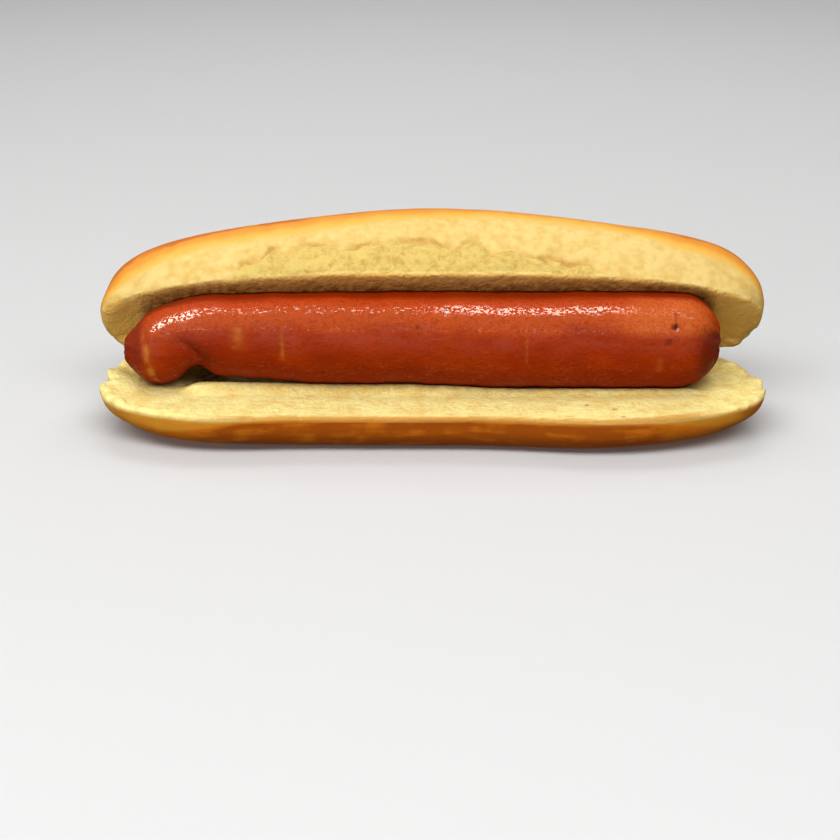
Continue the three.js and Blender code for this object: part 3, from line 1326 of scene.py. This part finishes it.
class Wire:
    """A shader socket that arithmetic can be written on; each operator adds its Math node."""

    def __init__(self, graph: "Graph", socket: bpy.types.NodeSocket) -> None:
        """Wrap an output socket of a graph."""
        self.graph = graph
        self.socket = socket

    def _math(self, operation: str, *values: "Wire | float") -> "Wire":
        """Add one Math node and return its result."""
        return self.graph.node("ShaderNodeMath", {"operation": operation}, *values)

    def __add__(self, other: "Wire | float") -> "Wire":
        """Give self + other."""
        return self._math("ADD", self, other)

    def __radd__(self, other: float) -> "Wire":
        """Give other + self."""
        return self._math("ADD", other, self)

    def __sub__(self, other: "Wire | float") -> "Wire":
        """Give self - other."""
        return self._math("SUBTRACT", self, other)

    def __rsub__(self, other: float) -> "Wire":
        """Give other - self."""
        return self._math("SUBTRACT", other, self)

    def __mul__(self, other: "Wire | float") -> "Wire":
        """Give self * other."""
        return self._math("MULTIPLY", self, other)

    def __rmul__(self, other: float) -> "Wire":
        """Give other * self."""
        return self._math("MULTIPLY", other, self)

    def __abs__(self) -> "Wire":
        """Give the value without its sign."""
        return self._math("ABSOLUTE", self)

    def clamped(self) -> "Wire":
        """Keep the value between 0 and 1."""
        return self.graph.node("ShaderNodeClamp", {}, self)

    def eased(self, start: float, end: float) -> "Wire":
        """Run softly from 0 at start to 1 at end."""
        settings = {"interpolation_type": "SMOOTHSTEP"}
        return self.graph.node("ShaderNodeMapRange", settings, self, start, end, 0.0, 1.0)


class Graph:
    """The node tree of one material."""

    def __init__(self, name: str) -> None:
        """Start a material with nothing but its surface shader and output.

        Args:
            name: Name of the material.
        """
        self.material = bpy.data.materials.new(name)
        self.material.use_nodes = True
        self.tree = self.material.node_tree
        self.surface = self.tree.nodes["Principled BSDF"]

    def node(
        self, kind: str, settings: dict[str, Any], *inputs: Any, output: int | str = 0, **named: Any
    ) -> Wire:
        """Add a node.

        Args:
            kind: Blender's name of the node type.
            settings: Properties of the node, set before its sockets.
            inputs: Values or wires of its sockets, in their order.
            output: Which output socket to return.
            named: Values or wires of sockets, by name with underscores for spaces.

        Returns:
            The node's output.
        """
        node = self.tree.nodes.new(kind)
        for name, value in settings.items():
            setattr(node, name, value)
        for index, value in enumerate(inputs):
            self._feed(node.inputs[index], value)
        for name, value in named.items():
            self._feed(node.inputs[name.replace("_", " ")], value)
        return Wire(self, node.outputs[output])

    def _feed(self, socket: bpy.types.NodeSocket, value: Any) -> None:
        """Link a wire to a socket, or set a constant on it.

        Args:
            socket: Input socket to feed.
            value: Wire or constant.
        """
        if isinstance(value, Wire):
            self.tree.links.new(value.socket, socket)
        else:
            socket.default_value = value

    def place(self) -> Wire:
        """Give the place on the piece, in metres."""
        return self.node("ShaderNodeTexCoord", {}, output="Object")

    def painted(self, name: str) -> Wire:
        """Read a painted value."""
        return self.node("ShaderNodeAttribute", {"attribute_name": name}, output="Fac")

    def noise(self, size: float, detail: float = 3.0, stretch: Sequence[float] = (1, 1, 1)) -> Wire:
        """Add soft noise.

        Args:
            size: Typical width of a bump in millimetres.
            detail: How many finer layers it has.
            stretch: Scale along each axis, less than 1 to draw the bumps out.

        Returns:
            Values around a half.
        """
        spot = self.node("ShaderNodeMapping", {}, self.place(), Scale=stretch)
        return self.node("ShaderNodeTexNoise", {}, spot, Scale=1 / (size * MM), Detail=detail)

    def mix(self, share: Wire | float, first: Any, second: Any) -> Wire:
        """Blend two colours.

        Args:
            share: 0 for the first colour, 1 for the second.
            first: Colour or wire.
            second: Colour or wire.

        Returns:
            The blend.
        """
        node = self.tree.nodes.new("ShaderNodeMix")
        node.data_type = "RGBA"
        self._feed(node.inputs["Factor"], share)
        self._feed(node.inputs[6], first)
        self._feed(node.inputs[7], second)
        return Wire(self, node.outputs[2])

    def bump(self, height: Wire, distance: float) -> Wire:
        """Turn heights into a bumped normal.

        Args:
            height: Heights from 0 to 1.
            distance: Real height of 1, in millimetres.

        Returns:
            The normal.
        """
        return self.node("ShaderNodeBump", {}, Height=height, Distance=distance * MM, Strength=1.0)

    def set(self, socket: str, value: Any) -> None:
        """Feed a socket of the surface shader."""
        self._feed(self.surface.inputs[socket], value)


def colour(red: int, green: int, blue: int) -> tuple[float, float, float, float]:
    """Turn a colour as seen on a screen, 0 to 255, into the renderer's linear values.

    Args:
        red: Red share.
        green: Green share.
        blue: Blue share.

    Returns:
        Red, green and blue from 0 to 1, and full cover.
    """

    def linear(value: int) -> float:
        """Undo the screen's curve for one channel."""
        share = value / 255
        return share / 12.92 if share <= 0.04045 else ((share + 0.055) / 1.055) ** 2.4

    return (linear(red), linear(green), linear(blue), 1.0)


@dataclass(frozen=True)
class Bread:
    """Finish of the bread: pale crumb, cream side crust and a browned, slightly shiny top, with painted
    shade on the crumb near the sausage, under the upper half's front edge, on the upper half's crumb
    and in the torn side's furrow.
    """

    crumb: tuple = colour(255, 240, 158)
    crumb_shade: tuple = colour(242, 208, 118)
    # Painted shade: a darker, more golden copy of the crumb for the upper half's cut face, which faces
    # down.
    hollow: tuple = colour(240, 184, 88)
    side: tuple = colour(229, 199, 122)
    side_shade: tuple = colour(216, 176, 92)
    torn: tuple = colour(218, 188, 102)
    torn_shade: tuple = colour(198, 160, 76)
    # Furrow colour: browned crust edge together with painted shade in the furrow.
    crack: tuple = colour(194, 150, 74)
    golden: tuple = colour(236, 176, 68)
    amber: tuple = colour(230, 148, 44)
    russet: tuple = colour(206, 108, 24)
    lip: tuple = colour(196, 132, 44)
    # Painted shade on the crumb near the sausage and under the upper half's front edge.
    painted_shade: tuple = colour(120, 74, 30)
    base_gold: tuple = colour(216, 146, 42)
    brown: tuple = colour(206, 112, 18)
    dark: tuple = colour(168, 80, 8)
    speck: tuple = colour(140, 50, 0)
    roughness: float = 0.8
    top_gloss: float = 0.3
    base_gloss: float = 0.12
    specular: float = 0.15
    relief: float = 1.1

    def material(self) -> bpy.types.Material:
        """Build the bread's material.

        Returns:
            The material.
        """
        g = Graph("bread")
        broad, soft = g.noise(13, 3), g.noise(4.5, 4)
        grain, fluff = g.noise(0.8, 3), g.noise(2.0, 5)
        crumb, torn, furrow = g.painted("crumb"), g.painted("torn"), g.painted("furrow")
        top = (g.painted("baked_top") + (soft - 0.5) * 0.34 + (broad - 0.5) * 0.3).clamped()
        base = g.painted("baked_base")
        streaks = g.noise(2.4, 4, (0.22, 1, 1))
        base = (base * (0.66 + 0.6 * soft) + base * (streaks - 0.5) * 0.85).clamped()
        pale = g.mix((soft * 0.5 + fluff * 0.5).eased(0.34, 0.62), self.side_shade, self.side)
        rubbed = (fluff * 0.5 + grain * 0.3 + soft * 0.2).eased(0.36, 0.58)
        rubbed = g.mix(rubbed, self.torn_shade, self.torn)
        pale = g.mix(torn, pale, rubbed)
        # The furrow is darkened: partly browned crust edge, partly painted shade.
        pale = g.mix(furrow.eased(0.3, 1.0) * soft.eased(0.3, 0.56), pale, self.crack)
        crust = g.mix(top.eased(0.12, 0.42), pale, self.golden)
        crust = g.mix(top.eased(0.36, 0.72), crust, self.amber)
        crust = g.mix(top.eased(0.8, 1.0), crust, self.russet)
        crust = g.mix(base.eased(0.08, 0.35), crust, self.base_gold)
        crust = g.mix(base.eased(0.3, 0.62), crust, self.brown)
        crust = g.mix(base.eased(0.7, 1.0), crust, self.dark)
        mealy = grain * 0.45 + fluff * 0.55
        mealy = mealy * 0.55 + soft * 0.45
        inside = g.mix(mealy.eased(0.34, 0.6), self.crumb_shade, self.crumb)
        # Painted shade on the upper half's crumb.
        inside = g.mix(g.painted("hollow") * 0.8, inside, self.hollow)
        # Painted shade: the crumb near the sausage and under the upper half's front edge is darkened,
        # with a little mottling.
        shade_amount = g.painted("painted_crumb_shade") * (0.72 + 0.46 * fluff.eased(0.3, 0.7))
        inside = g.mix(shade_amount.clamped(), inside, self.painted_shade)
        skin = g.mix(g.painted("lip") * 0.85, g.mix(crumb, crust, inside), self.lip)
        skin = g.mix((g.painted("tip_patch") * (0.55 + soft * 0.9)).clamped(), skin, self.russet)
        g.set("Base Color", g.mix(g.painted("speck") * 0.85, skin, self.speck))
        g.set("Roughness", (self.roughness - self.top_gloss * top - self.base_gloss * base).clamped())
        g.set("Specular IOR Level", self.specular)
        open_crumb = (crumb * 0.6 + g.painted("hollow") * 0.4 + torn * 0.6).clamped()
        height = 0.5 + (grain * 0.35 + fluff * 0.65 - 0.5) * (0.14 + 0.86 * open_crumb)
        g.set("Normal", g.bump(height, self.relief))
        return g.material


@dataclass(frozen=True)
class Skin:
    """Finish of the sausage: blotchy red-brown casing with an oily, speckled shine, painted lighter on
    its lit upper side and with painted shade on its crown and underside.
    """

    # Painted shade: the top of the casing, beneath the bun's upper half, is painted darker.
    crown_shade: tuple = colour(132, 34, 0)
    # Painted light: the top and the upper side, where light falls, are lighter and more orange than the
    # body.
    top: tuple = colour(184, 60, 0)
    upper: tuple = colour(184, 72, 12)
    body: tuple = colour(158, 49, 0)
    # Painted shade on the underside; the same colour also gives darker random streaks.
    low: tuple = colour(127, 34, 0)
    blotch: tuple = colour(140, 38, 2)
    plum: tuple = colour(124, 34, 14)
    mauve: tuple = colour(158, 60, 38)
    end: tuple = colour(204, 100, 40)
    ochre: tuple = colour(198, 124, 44)
    # Dark spots of the marks, painted shade beside the left fold and a darker crescent at the right
    # nose.
    dark_spot_and_shade: tuple = colour(52, 14, 6)
    roughness: float = 0.5
    specular: float = 0.04
    bead_size: float = 0.55
    bead_amount: float = 0.7
    grease_roughness: float = 0.14
    grease_ior: float = 1.5
    relief: float = 0.28

    def material(self) -> bpy.types.Material:
        """Build the sausage's material.

        Returns:
            The material.
        """
        g = Graph("sausage_skin")
        blotch, wet = g.painted("blotch"), g.painted("wet")
        streak = g.noise(2.6, 4, (0.35, 1, 1))
        fine, speck = g.noise(1.0, 3), g.noise(0.7, 2)
        wrinkle = abs(g.noise(3.2, 3, (0.4, 1, 1)) - 0.5).eased(0.0, 0.035)
        body = g.mix(blotch.eased(0.1, 0.8), self.blotch, self.body)
        body = g.mix(streak.eased(0.48, 0.7) * 0.6, body, self.low)
        # Painted shade: the underside is made darker.
        body = g.mix(g.painted("under") * 0.85, body, self.low)
        # Painted light: the upper side and the top are made lighter.
        skin = g.mix(g.painted("upper") * 0.8, body, self.upper)
        skin = g.mix(g.painted("dusk") * (0.25 + 0.7 * streak.eased(0.35, 0.6)), skin, self.mauve)
        skin = g.mix(g.painted("top"), skin, self.top)
        # Painted shade on the top of the casing, beneath the bun's upper half.
        skin = g.mix(g.painted("crown_shade") * 0.9, skin, self.crown_shade)
        skin = g.mix(g.painted("right_end") * (0.22 + 0.7 * fine.eased(0.42, 0.6)), skin, self.end)
        skin = g.mix(g.painted("nub") * 0.7, skin, self.plum)
        skin = g.mix(fine.eased(0.5, 0.66) * 0.45, skin, self.blotch)
        skin = g.mix(0.14 - wrinkle * 0.14, skin, self.blotch)
        skin = g.mix(g.painted("pale"), skin, self.ochre)
        # Dark spots, painted shade beside the left fold and the darker crescent round the right nose.
        skin = g.mix(g.painted("dark"), skin, self.dark_spot_and_shade)
        g.set("Base Color", skin)
        g.set("Roughness", self.roughness)
        g.set("Specular IOR Level", self.specular)
        grease = g.noise(self.bead_size, 3, (0.7, 1, 1))
        beads = grease.eased(0.58, 0.66) * self.bead_amount * (1 - 0.7 * g.painted("right_end"))
        beads = beads + grease.eased(0.48, 0.56) * wet
        g.set("Coat Weight", beads.clamped())
        g.set("Coat Roughness", self.grease_roughness)
        g.set("Coat IOR", self.grease_ior)
        height = speck * 0.35 + fine * 0.5 + wrinkle * 0.15
        g.set("Normal", g.bump(height, self.relief))
        return g.material


@dataclass(frozen=True)
class Softbox:
    """A soft light that faces the hot dog.

    Its elevation is in degrees above the horizon, 90 straight overhead, its azimuth in degrees to
    the right of the front, its distance and size in metres and its power in watts.
    """

    name: str
    elevation: float
    azimuth: float
    distance: float
    size: tuple[float, float]
    power: float
    shine: Shine

    def hang(self, middle: Vector, tint: tuple[float, float, float]) -> None:
        """Hang the light.

        Args:
            middle: Place that it faces.
            tint: Colour of a light that is seen in glossy surfaces only.
        """
        data = bpy.data.lights.new(self.name, "AREA")
        data.shape = "RECTANGLE"
        data.size, data.size_y = self.size
        data.energy = self.power
        if self.shine is Shine.ONLY:
            data.color = tint
        light = bpy.data.objects.new(self.name, data)
        up, turn = math.radians(self.elevation), math.radians(self.azimuth)
        away = Vector((math.cos(up) * math.sin(turn), -math.cos(up) * math.cos(turn), math.sin(up)))
        light.location = middle + away * self.distance
        light.rotation_euler = away.to_track_quat("Z", "Y").to_euler()
        light.visible_glossy = self.shine is Shine.ONLY
        light.visible_diffuse = self.shine is Shine.NONE
        light.visible_camera = False
        bpy.context.scene.collection.objects.link(light)


SOFTBOXES = (
    Softbox("front_key", 55, -5, 0.9, (1.5, 0.4), 10.0, Shine.NONE),
    Softbox("low_fill", 12, -32, 0.9, (1.0, 0.34), 2.9, Shine.NONE),
    Softbox("back_fill", 55, 180, 1.0, (0.8, 0.5), 4.0, Shine.NONE),
    Softbox("front_sheen", 39, 0, 0.9, (1.2, 0.14), 1.6, Shine.ONLY),
    Softbox("overhead_shine", 92, 0, 0.8, (1.2, 0.28), 17.0, Shine.ONLY),
    Softbox("end_glint", 49, -80, 0.9, (0.3, 0.5), 12.0, Shine.ONLY),
)


@dataclass
class Studio:
    """Plain pale floor, soft light and the camera at the photograph's place."""

    lens: float = 73.107
    camera_place: tuple[float, float, float] = (-3.291, -404.49, 165.53)
    camera_tilt: float = 67.402
    sensor_width: float = 36.0
    view_distance: float = 20.0
    aim: tuple[float, float, float] = (0, -6.7, 20)
    floor_size: float = 6.0
    floor_colour: tuple = colour(214, 214, 214)
    shine_tint: tuple[float, float, float] = (1.0, 0.9, 0.78)
    room_light: float = 0.14

    def build(self) -> None:
        """Lay the floor, hang the lights and stand the camera."""
        self._floor()
        self._camera()
        for softbox in SOFTBOXES:
            softbox.hang(Vector(self.aim) * MM, self.shine_tint)
        world = bpy.data.worlds.new("studio")
        world.use_nodes = True
        background = world.node_tree.nodes["Background"]
        background.inputs["Color"].default_value = (1, 1, 1, 1)
        background.inputs["Strength"].default_value = self.room_light
        bpy.context.scene.world = world
        bpy.context.scene.view_settings.view_transform = "Standard"

    def _floor(self) -> None:
        """Lay a plain, flat floor."""
        deselect_all()
        bpy.ops.mesh.primitive_plane_add(size=self.floor_size)
        floor = bpy.context.object
        floor.name = "floor"
        g = Graph("floor")
        g.set("Base Color", self.floor_colour)
        g.set("Roughness", 0.8)
        g.set("Specular IOR Level", 0.1)
        floor.data.materials.append(g.material)
        floor.visible_diffuse = False
        floor.visible_glossy = False

    def _camera(self) -> None:
        """Stand the camera."""
        data = bpy.data.cameras.new("camera")
        data.lens = self.lens
        data.sensor_width = self.sensor_width
        data.clip_end = self.view_distance
        camera = bpy.data.objects.new("camera", data)
        camera.location = Vector(self.camera_place) * MM
        camera.rotation_euler = (math.radians(self.camera_tilt), 0, 0)
        bpy.context.scene.collection.objects.link(camera)
        bpy.context.scene.camera = camera


def settle(piece: bpy.types.Object, material: bpy.types.Material, node: str) -> None:
    """Give a piece its material and its place in the frame.

    Args:
        piece: Finished piece.
        material: Its finish.
        node: CAD node that it stands for.
    """
    piece.data.materials.clear()
    piece.data.materials.append(material)
    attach(piece, "root")
    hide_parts(node)
    piece.data.calc_loop_triangles()
    LOG.info("%s: %d triangles", piece.name, len(piece.data.loop_triangles))


def main() -> None:
    """Build the hot dog and its studio."""
    logging.basicConfig(level=logging.INFO, format="%(name)s: %(message)s")
    sausage, bun = Sausage(), Bun()
    sausage.dress(sausage.build())
    bun.dress(bun.build(sausage))
    Studio().build()


if __name__ == "__main__":
    main()
